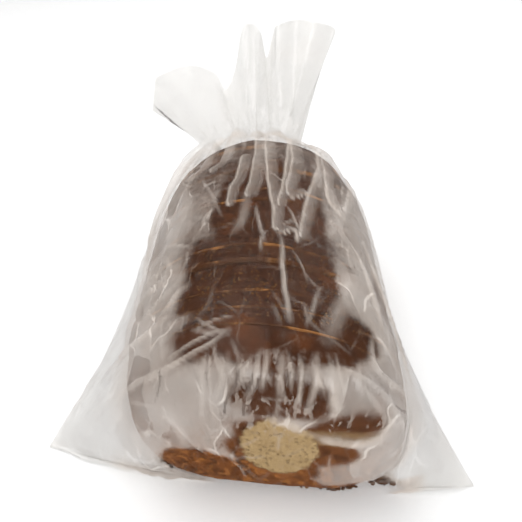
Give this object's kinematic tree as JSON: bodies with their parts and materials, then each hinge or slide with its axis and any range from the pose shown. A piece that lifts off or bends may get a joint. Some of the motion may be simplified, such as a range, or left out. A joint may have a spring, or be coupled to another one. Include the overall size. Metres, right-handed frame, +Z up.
{
  "type": "loaf in bread bag",
  "caption": "Sliced brown loaf lying in a soft, milky see-through bag, with a flat sealed end and a gathered neck that opens into a frill.",
  "frame": {"origin": "centre of the bounding box, on the surface that the bag lies on", "axes": "+Z up; +Y along the loaf from the bag's sealed end to its gathered neck; +X to the right, seen from the sealed end"},
  "size_m": [0.231, 0.3008, 0.1492],
  "materials": {
    "film": "satin",
    "crust": "matte",
    "crumb": "matte"
  },
  "bodies": {
    "root": {"bread_bag": "film"}
  },
  "joints": []
}
